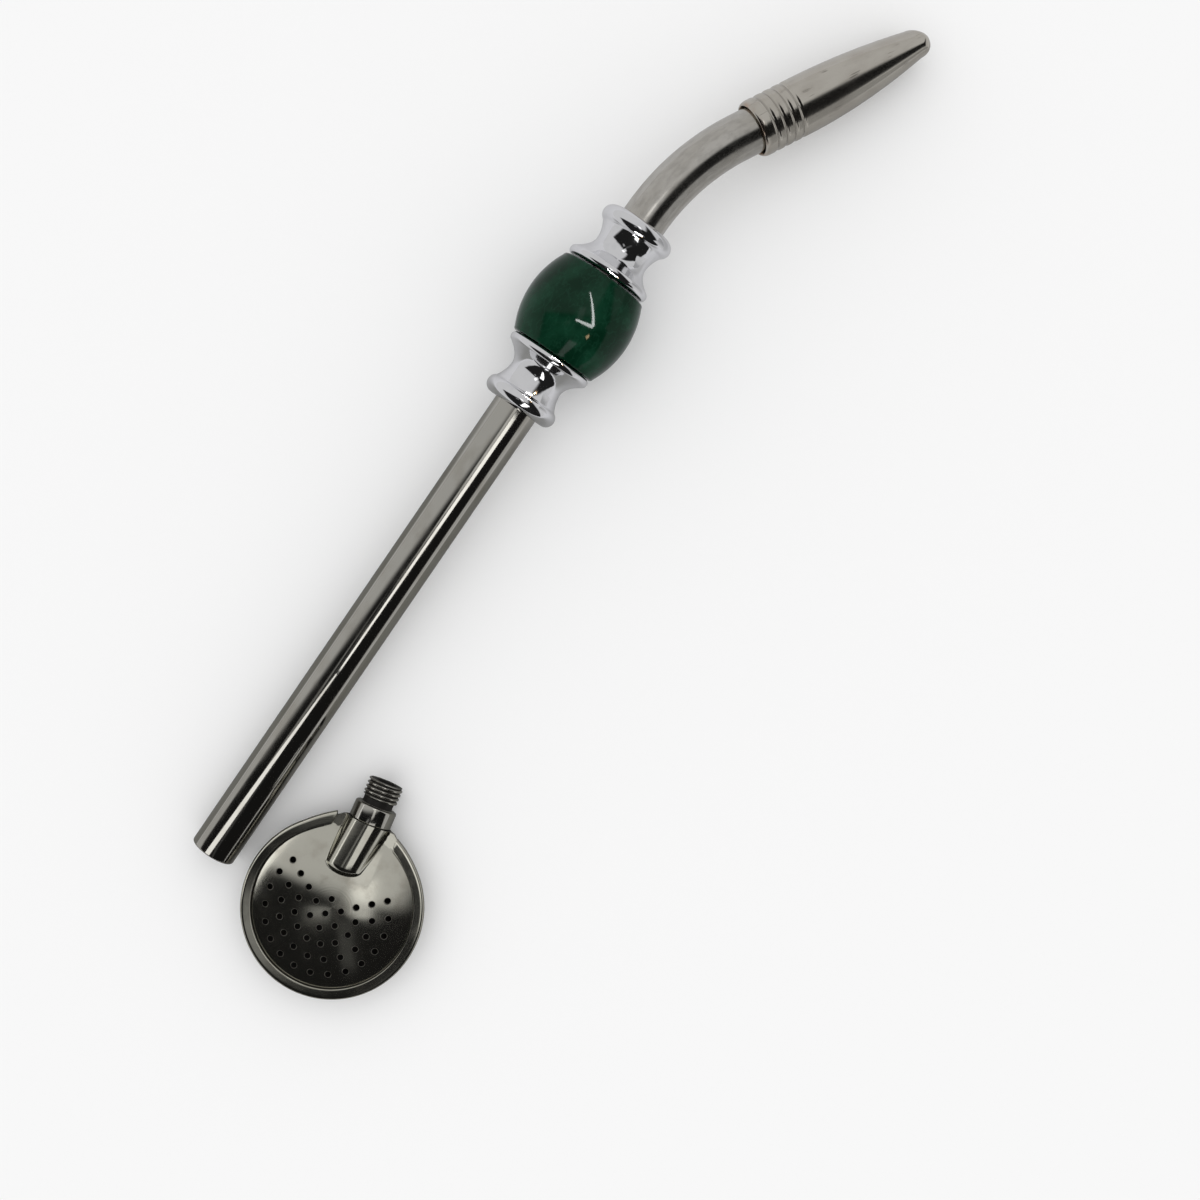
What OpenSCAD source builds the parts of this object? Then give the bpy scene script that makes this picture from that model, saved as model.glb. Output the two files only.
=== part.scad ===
// Bombilla: a metal drinking straw for mate, in two pieces, laid on a table.
// The stem rests on its mouth, its bead and its mouthpiece, and the unscrewed strainer lies beside it.
// +Z is up, +X runs along the stem seen from above, and the origin is the centre of the stem's mouth.

/* [Tubes] */
// Outer diameter of both tubes
tube_d = 8; // [7:0.1:10]
// Wall of both tubes
tube_wall = 1.5; // [1.3:0.05:1.6]
// Bare length of the lower tube, from its mouth to the lower ferrule
lower_length = 92.9; // [60:0.1:140]
// Rounding of the lower tube's outer edge at the mouth
mouth_edge = 0.35; // [0.1:0.05:0.6]
// Bare straight stretch between the upper ferrule and the bend
lead_length = 0.6; // [0.2:0.1:5]
// Radius of the bend, at the tube's centre line
bend_radius = 43; // [30:1:70]
// Angle of the bend
bend_angle = 28.8; // [20:0.2:40]
// Amount by which bending draws in the tube's radius
bend_draw = 0.02; // [0.01:0.01:0.1]
// Bare straight stretch between the bend and the mouthpiece
tail_length = 3.1; // [0.2:0.1:8]

/* [Ferrules] */
// Length of each ferrule
ferrule_length = 10.9; // [9:0.1:15]
// Diameter of the flange at the outer end
flange_d = 13.5; // [12.4:0.1:16]
// Radius of the flange's rounded edge
flange_edge = 1.6; // [1:0.1:2]
// Diameter of the waist
waist_d = 9.9; // [9.4:0.1:11]
// Diameter of the cup that faces the bead
cup_d = 15.5; // [13.5:0.1:18]
// Thickness of the cup's edge
cup_edge = 1.7; // [1.2:0.1:2.4]
// Radius on the cup's edge
cup_round = 0.8; // [0.3:0.05:0.85]

/* [Bead] */
// Largest diameter of the bead
bead_d = 19.5; // [17:0.1:26]
// Length of the bead
bead_length = 15.5; // [10:0.1:18]
// Radius of the barrel curve along the bead
bead_crown = 16.5; // [12:0.1:40]
// Rounding of the bead's end edges
bead_edge = 0.5; // [0.2:0.05:0.8]
// Gap between the bead and the lower ferrule that it leans on
bead_seat_gap = 0.1; // [0.05:0.05:0.3]
// Gap between the bead and the upper ferrule
bead_play = 0.4; // [0.2:0.05:1]

/* [Joining sleeve] */
// Length of the sleeve inside each tube
sleeve_grip = 9; // [5:0.5:10]
// Wall of the sleeve
sleeve_wall = 0.6; // [0.4:0.05:0.9]

/* [Mouthpiece] */
// Length of the mouthpiece
mouthpiece_length = 34.6; // [28:0.1:50]
// Diameter of its round base
mouthpiece_d = 10; // [9.6:0.1:13]
// Length of its round base
base_length = 9; // [8:0.1:14]
// Depth to which the upper tube goes in
mouthpiece_grip = 8; // [4:0.1:8]
// Thickness of the beak where its end starts to round
tip_thickness = 5.1; // [3:0.1:6]
// Width of the beak where its end starts to round
tip_width = 8.8; // [6:0.1:9.4]
// Length of the rounded end
tip_round = 1.8; // [1:0.1:3]
// Lift of the beak's end towards the outside of the bend
tip_lift = 0.5; // [0:0.1:1]
// Wall of the beak
beak_wall = 0.9; // [0.6:0.05:1.1]
// Width of the drinking slot
slot_width = 5; // [3:0.1:5.4]
// Height of the drinking slot
slot_height = 1.4; // [0.8:0.1:1.7]
// Number of turned grooves
groove_count = 4; // [1:1:4]
// Distance of the first groove from the base
groove_start = 2.5; // [1.5:0.1:3]
// Spacing of the grooves
groove_pitch = 1.73; // [1.2:0.01:1.9]
// Width of a groove
groove_width = 0.9; // [0.4:0.05:1.1]
// Depth of a groove
groove_depth = 0.22; // [0.1:0.01:0.35]

/* [Thread] */
// Outer diameter of the strainer's thread
thread_d = 6.25; // [6.15:0.05:6.6]
// Pitch of the thread
thread_pitch = 0.75; // [0.6:0.05:1]
// Number of thread crests
thread_turns = 4; // [3:1:6]
// Depth of the thread
thread_depth = 0.35; // [0.25:0.05:0.4]
// Radial clearance between the two threads
thread_gap = 0.1; // [0.05:0.01:0.15]

/* [Strainer] */
// Diameter over the rolled rim
disc_d = 31.8; // [28:0.1:40]
// Thickness of the sheet
sheet = 0.5; // [0.4:0.05:0.7]
// Width of the rolled rim, seen from the front
hem_width = 1.8; // [1.4:0.1:2.4]
// Height of the front shell's dome above the middle plane
front_height = 2.8; // [2:0.1:4]
// Depth of the back shell's dish below the middle plane
back_height = 4.4; // [3.5:0.1:6]
// Diameter of the neck at the rim
neck_d = 8.1; // [7.2:0.1:8.5]
// Diameter of the neck at its inner end
neck_end_d = 7.5; // [6.5:0.1:7.8]
// Length of the neck along its axis, measured inwards from the rim
neck_length = 10.2; // [8:0.1:12]
// Length of the rounding at the neck's inner end
neck_round = 1.9; // [1:0.1:3]
// Widest opening of the slits beside the neck
slit_width = 1.5; // [0.4:0.1:1.6]
// Length of the slits beside the neck
slit_length = 5.5; // [2:0.1:5.5]
// Radius of the notch in the rolled rim at the neck
notch_radius = 5.6; // [5:0.1:8]

/* [Holes] */
// Diameter of a hole
hole_d = 1.05; // [0.6:0.05:1.4]
// Spacing between the rings of holes
ring_pitch = 2.68; // [2.2:0.01:2.8]
// Number of rings round the centre hole
ring_count = 4; // [2:1:4]
// Holes in the inner, complete ring
inner_ring_holes = 6; // [4:1:8]
// Holes that each further ring has more than the one inside it
ring_step = 3; // [2:1:4]
// Angle on each side of the neck that the outer rings leave free
free_angle = 56; // [40:1:70]
// Distance of the pattern's centre from the disc's centre, away from the neck
pattern_shift = 1; // [0:0.1:1.2]
// Distance of the pattern's centre to the side of the neck's axis
pattern_side = 0.5; // [-1.2:0.1:1.2]

/* [Nipple] */
// Diameter of the collar
collar_d = 7.5; // [7.1:0.1:9]
// Length of the collar
collar_length = 3.1; // [1.5:0.1:5]
// Rounding of the collar's outer edges
collar_round = 0.3; // [0.1:0.05:0.6]
// Diameter of the neck between collar and thread
relief_d = 5.4; // [5.2:0.05:5.6]
// Length of the neck between collar and thread
relief_length = 1.4; // [0.4:0.1:2]
// Length of the tail held between the shells
tail_depth = 4.5; // [2:0.1:5]
// Bore through the nipple
nipple_bore = 3.6; // [2.5:0.1:4]

/* [Resting place] */
// Place of the strainer's centre along the stem
strainer_x = 4; // [-60:0.1:10]
// Place of the strainer's centre beside the stem
strainer_y = -22.6; // [-60:0.1:-22]
// Turn of the strainer's thread axis towards the stem
strainer_turn = 11.2; // [-20:0.1:12]

/* [Fits] */
// Radial gap of a brazed or pushed joint
fit_gap = 0.05; // [0.02:0.01:0.08]
// Radial running clearance of the bead on its sleeve
run_gap = 0.08; // [0.03:0.01:0.1]

/* [Hidden] */
$fn = 96;

tube_r = tube_d / 2;
bore_r = tube_r - tube_wall;

// Places along the stem's axis, from the mouth
lower_face = lower_length + ferrule_length;
bead_start = lower_face + bead_seat_gap;
bead_middle = bead_start + bead_length / 2;
upper_face = bead_start + bead_length + bead_play;
upper_end = upper_face + ferrule_length;
bend_start = upper_end + lead_length;

// The joining sleeve fits the tubes' bore, and the bead runs on the sleeve
sleeve_r = bore_r - fit_gap;
bead_bore_r = sleeve_r + run_gap;

// The tapped socket in the mouth takes the strainer's thread and the neck behind it
thread_length = thread_turns * thread_pitch;
socket_r = thread_d / 2 + thread_gap - thread_depth;
socket_depth = thread_length + relief_length + thread_pitch;
groove_angle = 60;
thread_mouth = 2 * thread_depth * tan(groove_angle / 2);

// The beak starts inside the round base, a small step narrower, and narrows to its rounded end
beak_end = mouthpiece_length - tip_round;
beak_step = 0.05;
beak_root = mouthpiece_d / 2 - beak_step;
cavity_start = mouthpiece_grip + fit_gap;

// The strainer's shells: caps of spheres that meet a flat flange on the middle plane
disc_r = disc_d / 2;
hem_r = disc_r - hem_width;
flange_r = disc_r - sheet - fit_gap;
function cap_r(height) = (pow(hem_r, 2) + pow(height - sheet, 2)) / (2 * (height - sheet));
neck_r = neck_d / 2;
neck_end_r = neck_end_d / 2;
neck_out = disc_r + fit_gap;
neck_in = neck_out - neck_length + neck_round;
tail_r = neck_r - sheet - fit_gap - tail_depth * (neck_r - neck_end_r) / (neck_out - neck_in);
collar_r = collar_d / 2;

// Rest of the stem: the mouth's lower edge and the bead's crown both touch the table
crown_arm = tube_r + bead_crown - bead_d / 2;
stem_tilt = asin(bead_crown / norm([bead_middle, crown_arm])) - atan2(crown_arm, bead_middle);
table_z = -tube_r * cos(stem_tilt);

// Roll of the stem about its axis, until the end of the beak touches the table too
beak_run = tail_length + beak_end;
beak_x = bend_start + (bend_radius + tip_lift) * sin(bend_angle) + beak_run * cos(bend_angle);
beak_y = bend_radius - (bend_radius + tip_lift) * cos(bend_angle) + beak_run * sin(bend_angle);
beak_drop = beak_x * sin(stem_tilt) - table_z - tip_width / 2;
stem_roll = asin(beak_drop / (beak_y * cos(stem_tilt)));

// Rest of the strainer: the back shell's dish and the wider of neck and collar both touch the table
dish_r = cap_r(back_height);
neck_arm = dish_r - back_height + max(neck_r, collar_r);
strainer_tilt = atan2(neck_arm, neck_out) - asin(dish_r / norm([neck_out, neck_arm]));
strainer_z = table_z + dish_r - (dish_r - back_height) * cos(strainer_tilt);

// Points of an arc about [x, y], from one angle to another
function arc(x, y, r, from, to, steps = 12) =
    [for (i = [0 : steps]) let (a = from + (to - from) * i / steps) [x + r * cos(a), y + r * sin(a)]];

// Outline of a ferrule from its outer end: rounded flange, waist and rounded cup
function ferrule_outline() =
    let (
        blend = 60,
        flange_x = flange_d / 2 - flange_edge,
        cup_x = cup_d / 2 - cup_round,
        cup_y = ferrule_length - cup_edge + cup_round,
        flange_top = [flange_x + flange_edge * cos(blend), flange_edge * (1 + sin(blend))],
        cup_foot = [cup_x + cup_round * cos(blend), cup_y - cup_round * sin(blend)],
        middle = (flange_top.y + cup_foot.y) / 2,
        half = (cup_foot.y - flange_top.y) / 2,
        steps = 10
    )
    concat(
        [[tube_r + fit_gap, 0]],
        arc(flange_x, flange_edge, flange_edge, -90, blend),
        [for (i = [1 - steps : steps - 1])
            let (u = i / steps, wide = u < 0 ? flange_top.x : cup_foot.x)
            [waist_d / 2 + (wide - waist_d / 2) * pow(u, 2), middle + half * u]],
        arc(cup_x, cup_y, cup_round, -blend, 0, 6),
        arc(cup_x, ferrule_length - cup_round, cup_round, 0, 90, 6),
        [[tube_r + fit_gap, ferrule_length]]
    );

// Amount by which the beak has taken on its end's form at a distance from the base
function beak_share(s) = pow(max(0, (s - base_length) / (beak_end - base_length)), 2);

// Half thickness or half width of the beak at a distance from the base
function beak_half(s, tip) = beak_root - (beak_root - tip) * beak_share(s);

// One ring of beak points: an ellipse across the mouthpiece's axis, lifted towards the end
beak_sides = 48;
function beak_ring(s, thick, wide) =
    let (lift = tip_lift * beak_share(s))
    [for (i = [0 : beak_sides - 1]) let (a = 360 * i / beak_sides) [s, lift + thick * cos(a), wide * sin(a)]];

// A closed skin over rings of points, with flat ends
module skin(rings) {
    last = len(rings) - 1;
    n = len(rings[0]);
    polyhedron(
        points = [for (ring = rings) each ring],
        faces = concat(
            [[for (i = [0 : n - 1]) i]],
            [for (k = [0 : last - 1], i = [0 : n - 1])
                let (j = (i + 1) % n) each [
                    [k * n + i, (k + 1) * n + i, (k + 1) * n + j],
                    [k * n + i, (k + 1) * n + j, k * n + j]
                ]],
            [[for (i = [n - 1 : -1 : 0]) last * n + i]]
        )
    );
}

// Turns a shape made along Z so that it runs along X
module along_x() {
    rotate([0, 90, 0]) children();
}

// A straight length of hollow tube along X
module tube_length(start, length, outer, inner) {
    translate([start, 0, 0]) along_x() difference() {
        cylinder(r = outer, h = length);
        translate([0, 0, -1]) cylinder(r = inner, h = length + 2);
    }
}

// V-shaped ring grooves of a thread, cut to depth from the radius given
module thread_grooves(start, radius, depth, count) {
    for (i = [0 : count - 1])
        translate([start + (i + 0.5) * thread_pitch, 0, 0]) along_x() rotate_extrude()
            polygon([[radius, -thread_mouth / 2], [radius + depth, 0], [radius, thread_mouth / 2]]);
}

// Places a shape of the stem's own frame, with its mouth at the origin, as the stem lies
module lay_stem() {
    rotate([0, -stem_tilt, 0]) rotate([stem_roll, 0, 0]) children();
}

// Places a shape at the end of the bend, with X along the mouthpiece
module after_bend() {
    translate([bend_start + bend_radius * sin(bend_angle), -bend_radius * (1 - cos(bend_angle)), 0])
        rotate([0, 0, -bend_angle]) children();
}

// Places a shape of the strainer's own frame, with X along its thread, as the strainer lies
module lay_strainer() {
    translate([strainer_x, strainer_y, strainer_z])
        rotate([0, 0, strainer_turn]) rotate([0, -strainer_tilt, 0]) children();
}

module lower_tube() {
    color("silver") lay_stem() difference() {
        along_x() rotate_extrude() polygon(concat(
            arc(tube_r - mouth_edge, mouth_edge, mouth_edge, -90, 0, 6),
            [[tube_r, lower_face], [bore_r, lower_face], [bore_r, socket_depth], [socket_r, socket_depth],
             [socket_r, 0]]
        ));
        thread_grooves(relief_length, socket_r, thread_depth, thread_turns);
    }
}

module ferrule() {
    along_x() rotate_extrude() polygon(ferrule_outline());
}

module lower_ferrule() {
    color("gainsboro") lay_stem() translate([lower_length, 0, 0]) ferrule();
}

module upper_ferrule() {
    color("gainsboro") lay_stem() translate([upper_end, 0, 0]) mirror([1, 0, 0]) ferrule();
}

module bead() {
    crown_x = bead_d / 2 - bead_crown;
    end_angle = asin((bead_length / 2 - bead_edge) / bead_crown);
    end_x = crown_x + bead_crown * cos(end_angle);
    color("#123d2a") lay_stem() translate([bead_middle, 0, 0]) along_x() rotate_extrude() polygon(concat(
        [[bead_bore_r, -bead_length / 2], [end_x - bead_edge, -bead_length / 2]],
        arc(crown_x, 0, bead_crown, -end_angle, end_angle, 24),
        [[end_x - bead_edge, bead_length / 2], [bead_bore_r, bead_length / 2]]
    ));
}

module joining_sleeve() {
    start = lower_face - sleeve_grip;
    color("darkgray") lay_stem()
        tube_length(start, upper_face + sleeve_grip - start, sleeve_r, sleeve_r - sleeve_wall);
}

// The upper tube's run as a solid rod: straight, bent and straight again.
// The straight stretches reach a little way into the bend, where the tube is drawn in.
module bent_rod(radius, start, end) {
    seam = sqrt(bend_radius * bend_draw) / 2;
    translate([start, 0, 0]) along_x() cylinder(r = radius, h = bend_start + seam - start);
    translate([bend_start, -bend_radius, 0]) rotate([0, 0, 90 - bend_angle])
        rotate_extrude(angle = bend_angle) translate([bend_radius, 0]) circle(r = radius - bend_draw);
    after_bend() translate([-seam, 0, 0]) along_x() cylinder(r = radius, h = seam + end);
}

module upper_tube() {
    end = tail_length + mouthpiece_grip;
    color("#a8a39b") lay_stem() difference() {
        bent_rod(tube_r, upper_face, end);
        bent_rod(bore_r, upper_face - 1, end + 1);
    }
}

// Round base of the mouthpiece, with its turned grooves and the socket for the upper tube
module mouthpiece_base() {
    groove_r = (pow(groove_width / 2, 2) + pow(groove_depth, 2)) / (2 * groove_depth);
    difference() {
        along_x() cylinder(r = mouthpiece_d / 2, h = base_length);
        for (i = [0 : groove_count - 1])
            translate([groove_start + i * groove_pitch, 0, 0]) along_x() rotate_extrude()
                translate([mouthpiece_d / 2 + groove_r - groove_depth, 0]) circle(r = groove_r);
        translate([-1, 0, 0]) along_x() cylinder(r = tube_r + fit_gap, h = 1 + cavity_start);
        translate([-1, 0, 0]) along_x() cylinder(r = bore_r, h = base_length + 2);
    }
}

// Flattened beak, hollow inside, with the drinking slot through its rounded end
module beak() {
    stations = 14;
    round_steps = 6;
    last_turn = 78;
    lap = 0.5;
    start = base_length - lap;
    length = beak_end - start;
    outer = concat(
        [for (i = [0 : stations])
            let (s = start + length * i / stations)
            beak_ring(s, beak_half(s, tip_thickness / 2), beak_half(s, tip_width / 2))],
        [for (i = [1 : round_steps])
            let (a = last_turn * i / round_steps)
            beak_ring(beak_end + tip_round * sin(a), tip_thickness / 2 * cos(a),
                      tip_width / 2 - tip_round * (1 - cos(a)))]
    );
    inner = [for (i = [0 : stations])
        let (s = start - lap + (length + lap) * i / stations, inset = beak_root - bore_r - beak_step,
             u = i / stations, wall = inset + (beak_wall - inset) * u)
        beak_ring(s, beak_half(s, tip_thickness / 2) - wall, beak_half(s, tip_width / 2) - wall)];
    difference() {
        skin(outer);
        skin(inner);
        translate([beak_end - 1, tip_lift - slot_height / 2, -slot_width / 2])
            cube([tip_round + 2, slot_height, slot_width]);
    }
}

module mouthpiece() {
    color("#b5aea3") lay_stem() after_bend() translate([tail_length, 0, 0]) {
        mouthpiece_base();
        beak();
    }
}

// Cap of a sphere about the strainer's axis, above the middle plane, smaller by the inset
module dome(height, inset) {
    intersection() {
        translate([0, 0, height - cap_r(height)]) sphere(r = cap_r(height) - inset);
        cylinder(r = disc_r, h = 2 * height);
    }
}

// Neck of the strainer: a cone with a rounded inner end, smaller by the inset all round
module neck(inset) {
    along_x() rotate_extrude() polygon(concat(
        [for (p = arc(0, 0, 1, -90, 0)) [p.x * (neck_end_r - inset), neck_in + p.y * (neck_round - inset)]],
        [[neck_r - inset, neck_out], [0, neck_out]]
    ));
}

// Half of the neck above the middle plane
module half_neck(inset) {
    intersection() {
        neck(inset);
        translate([0, -disc_r, 0]) cube([2 * disc_r, 2 * disc_r, disc_r]);
    }
}

// Dished shell above the middle plane: dome, flat flange and half neck, hollow inside
module shell(edge_r, height) {
    difference() {
        union() {
            dome(height, 0);
            cylinder(r = edge_r, h = sheet);
            half_neck(0);
        }
        dome(height, sheet);
        neck(sheet);
    }
}

// Wedge-shaped slits in the front shell, on both sides of the neck
module neck_slits() {
    flare = (neck_r - neck_end_r) / (neck_out - neck_in);
    for (side = [-1, 1])
        translate([0, 0, -1]) linear_extrude(height = front_height + 2) polygon([
            [neck_out, side * neck_r],
            [neck_out - slit_length, side * (neck_r - flare * slit_length)],
            [neck_out, side * (neck_r + slit_width)]
        ]);
}

// The centre hole, a complete inner ring, and outer rings that leave the neck free
module hole_pattern() {
    translate([-pattern_shift, pattern_side, 0]) {
        cylinder(d = hole_d, h = 2 * front_height);
        for (ring = [1 : ring_count]) {
            count = ring == 1 ? inner_ring_holes : inner_ring_holes + 1 + ring_step * (ring - 1);
            for (i = [0 : count - 1]) {
                turn = ring == 1 ? 360 * i / count : free_angle + (360 - 2 * free_angle) * i / (count - 1);
                rotate([0, 0, turn]) translate([ring * ring_pitch, 0, 0])
                    cylinder(d = hole_d, h = 2 * front_height);
            }
        }
    }
}

module strainer_front() {
    color("silver") lay_strainer() difference() {
        shell(flange_r, front_height);
        neck_slits();
        hole_pattern();
    }
}

// Rolled rim of the back shell: the sheet goes up round the front shell's edge and back over it
module hem() {
    difference() {
        rotate_extrude() polygon(concat(
            [[hem_r, 0], [disc_r, 0]],
            arc(disc_r - sheet, sheet, sheet, 0, 90, 6),
            [[hem_r, 2 * sheet]]
        ));
        cylinder(r = disc_r - sheet, h = sheet);
        translate([neck_out, 0, -1]) cylinder(r = notch_radius, h = 4);
    }
}

module strainer_back() {
    color("silver") lay_strainer() {
        mirror([0, 0, 1]) shell(disc_r, back_height);
        hem();
    }
}

module strainer_nipple() {
    collar_end = neck_out + collar_length;
    thread_start = collar_end + relief_length;
    thread_end = thread_start + thread_length;
    tail_start = neck_out - tail_depth;
    color("gainsboro") lay_strainer() difference() {
        along_x() rotate_extrude() polygon(concat(
            [[nipple_bore / 2, tail_start], [tail_r, tail_start], [tail_r, neck_out]],
            arc(collar_r - collar_round, neck_out + collar_round, collar_round, -90, 0, 4),
            arc(collar_r - collar_round, collar_end - collar_round, collar_round, 0, 90, 4),
            [[relief_d / 2, collar_end], [relief_d / 2, thread_start], [thread_d / 2, thread_start],
             [thread_d / 2, thread_end], [nipple_bore / 2, thread_end]]
        ));
        thread_grooves(thread_start, thread_d / 2, -thread_depth, thread_turns);
    }
}

lower_tube();
lower_ferrule();
bead();
upper_ferrule();
joining_sleeve();
upper_tube();
mouthpiece();
strainer_front();
strainer_back();
strainer_nipple();
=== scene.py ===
import math

import bpy
import numpy as np
from mathutils import Matrix, Vector
from mathutils.geometry import delaunay_2d_cdt
from mathutils.kdtree import KDTree


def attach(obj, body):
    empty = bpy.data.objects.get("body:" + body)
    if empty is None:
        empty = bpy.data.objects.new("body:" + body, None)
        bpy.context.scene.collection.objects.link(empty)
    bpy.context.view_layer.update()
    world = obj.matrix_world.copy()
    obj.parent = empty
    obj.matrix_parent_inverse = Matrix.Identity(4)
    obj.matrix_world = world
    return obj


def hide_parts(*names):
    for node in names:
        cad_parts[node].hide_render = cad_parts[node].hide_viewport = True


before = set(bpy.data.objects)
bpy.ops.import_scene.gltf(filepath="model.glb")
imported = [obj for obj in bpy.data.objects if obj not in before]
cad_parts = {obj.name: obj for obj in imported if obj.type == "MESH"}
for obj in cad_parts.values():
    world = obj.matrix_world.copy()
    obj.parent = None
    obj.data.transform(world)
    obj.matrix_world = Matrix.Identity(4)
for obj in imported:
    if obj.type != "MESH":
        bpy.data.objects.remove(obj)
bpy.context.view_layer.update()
print("straw: CAD pieces loaded")

# Sizes are millimetres in the stem's or the strainer's own frame, and a mesh becomes metres when it is laid
mm = 0.001
fullTurn = 2 * math.pi
evenly = (1.0, 1.0, 1.0)    # stretch of a pattern that runs the same both ways
scene = bpy.context.scene
scene.view_settings.view_transform = "Standard"


class Wire:
    # One socket of a node tree, with arithmetic that adds Math nodes
    def __init__(self, tree, socket=None):
        self.tree, self.socket = tree, socket

    # Any other node: its type, its settings, then the values or links of its sockets
    def add(self, kind, settings, sockets, out=0):
        node = self.tree.nodes.new(kind)
        for key, value in settings.items():
            setattr(node, key, value)
        for key, value in sockets.items():
            if isinstance(value, Wire):
                self.tree.links.new(value.socket, node.inputs[key])
            else:
                node.inputs[key].default_value = value
        return Wire(self.tree, node.outputs[out] if len(node.outputs) else None)

    def maths(self, operation, *terms):
        return self.add("ShaderNodeMath", {"operation": operation}, dict(enumerate(terms)))

    def __add__(self, other):
        return self.maths("ADD", self, other)

    def __sub__(self, other):
        return self.maths("SUBTRACT", self, other)

    def __rsub__(self, other):
        return self.maths("SUBTRACT", other, self)

    def __mul__(self, other):
        return self.maths("MULTIPLY", self, other)

    def __truediv__(self, other):
        return self.maths("DIVIDE", self, other)

    def __rtruediv__(self, other):
        return self.maths("DIVIDE", other, self)

    __radd__ = __add__
    __rmul__ = __mul__

    # Smooth step from 0 at low to 1 at high
    def step(self, low, high):
        return self.add("ShaderNodeMapRange", {"interpolation_type": "SMOOTHSTEP"},
                        {"Value": self, "From Min": low, "From Max": high})

    # Colour between two others, with this wire as the share of the second
    def tint(self, first, second):
        return self.add("ShaderNodeMix", {"data_type": "RGBA"}, {0: self, 6: first, 7: second}, 2)

    # The three parts of a vector
    def parts(self):
        node = self.add("ShaderNodeSeparateXYZ", {}, {0: self}).socket.node
        return [Wire(self.tree, socket) for socket in node.outputs]


# Stem: places along its axis from the mouth, and how it lies on the table
stem = dict(tubeR=4.0, boreR=2.5, lowerFace=103.8, beadMiddle=111.65, upperFace=119.8, upperEnd=130.7,
            bendStart=131.3, bendRadius=43.0, bendAngle=math.radians(28.8), tail=3.1, sides=96,
            tilt=math.radians(2.95942), roll=math.radians(24.204233), tableZ=-3.99467)
stem["seam"] = -math.pi / 2 - stem["roll"]    # texture seams face the table


# Place on the stem's bent axis after a turn
def bentPlace(turn):
    return (stem["bendStart"] + stem["bendRadius"] * math.sin(turn),
            -stem["bendRadius"] * (1 - math.cos(turn)))


layStem = (Matrix.Scale(mm, 4) @ Matrix.Rotation(-stem["tilt"], 4, "Y")
           @ Matrix.Rotation(stem["roll"], 4, "X"))
bendEnd = Vector((*bentPlace(stem["bendAngle"]), 0))
layMouth = (layStem @ Matrix.Translation(bendEnd) @ Matrix.Rotation(-stem["bendAngle"], 4, "Z")
            @ Matrix.Translation((stem["tail"], 0, 0)))

# Strainer: where it lies, and its shells
strainer = dict(x=4.0, y=-22.6, z=0.41109, turn=math.radians(11.2), tilt=math.radians(-1.28173),
                discR=15.9, hemR=14.1, sheet=0.5, frontHeight=2.8, backHeight=4.4, flangeR=15.35,
                neckR=4.05, neckEndR=3.75, neckOut=15.95, neckIn=7.65, neckRound=1.9, fillet=0.45, lean=0.9)
layStrainer = (Matrix.Scale(mm, 4) @ Matrix.Translation((strainer["x"], strainer["y"], strainer["z"]))
               @ Matrix.Rotation(strainer["turn"], 4, "Z") @ Matrix.Rotation(-strainer["tilt"], 4, "Y"))


# Mesh from points and faces, with a UV for each face corner
def plainMesh(name, points, faces, uvs):
    mesh = bpy.data.meshes.new(name)
    mesh.from_pydata(np.asarray(points).tolist(), [], faces)
    mesh.uv_layers.new(name="UVMap").data.foreach_set("uv", np.asarray(uvs, dtype=np.float32).ravel())
    mesh.validate()
    return mesh


# Skin over rings of points: joined end to start, or capped at both ends
def loftMesh(name, rings, girth, capped=False):
    rows, sides = len(rings), len(rings[0])
    points = np.concatenate(rings)
    spans = rows - 1 if capped else rows
    row, side = np.repeat(np.arange(spans), sides), np.tile(np.arange(sides), spans)
    nextRow, nextSide = (row + 1) % rows, (side + 1) % sides
    quads = np.stack([row * sides + side, nextRow * sides + side,
                      nextRow * sides + nextSide, row * sides + nextSide], 1)
    gaps = [np.linalg.norm(rings[(k + 1) % rows] - rings[k], axis=1).mean() for k in range(rows)]
    run = np.cumsum([0] + gaps)
    left, right = side * girth / sides, (side + 1) * girth / sides
    uvs = np.stack([np.stack([left, run[row]], 1), np.stack([left, run[row + 1]], 1),
                    np.stack([right, run[row + 1]], 1), np.stack([right, run[row]], 1)], 1)
    faces = quads.tolist()
    uvs = uvs.reshape(-1, 2)
    if capped:
        faces += [list(range(sides))[::-1], list(range((rows - 1) * sides, rows * sides))]
        uvs = np.concatenate([uvs, np.zeros((2 * sides, 2))])
    corners = points[quads]
    volume = sum(np.einsum("ij,ij->i", corners[:, 0], np.cross(corners[:, a], corners[:, b])).sum()
                 for a, b in ((1, 2), (2, 3)))
    mesh = plainMesh(name, points, faces, uvs)
    if volume < 0:
        mesh.flip_normals()
    return mesh


# Directions of a ring's points
def ringTurns(sides, seam=0.0):
    return seam + fullTurn * np.arange(sides) / sides


# Rings of a turned piece about X, from its outline of (x, radius)
def turnedRings(outline, sides, seam):
    turns = ringTurns(sides, seam)
    return [np.stack([np.full(sides, x), r * np.cos(turns), r * np.sin(turns)], 1) for x, r in outline]


# Points of an arc in an outline, about (x, r), with angles in degrees from the X direction
def outlineArc(x, r, radius, start, end, steps):
    return [(x + radius * math.cos(a), r + radius * math.sin(a))
            for a in np.radians(np.linspace(start, end, steps + 1))]


# Share of painted shade at each point, on inner faces and in hollows, which the steel finishes read
def paintHollowShade(mesh, shares):
    inside = mesh.attributes.new("inside", "FLOAT", "POINT")
    inside.data.foreach_set("value", np.asarray(shares, dtype=np.float32))


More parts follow.
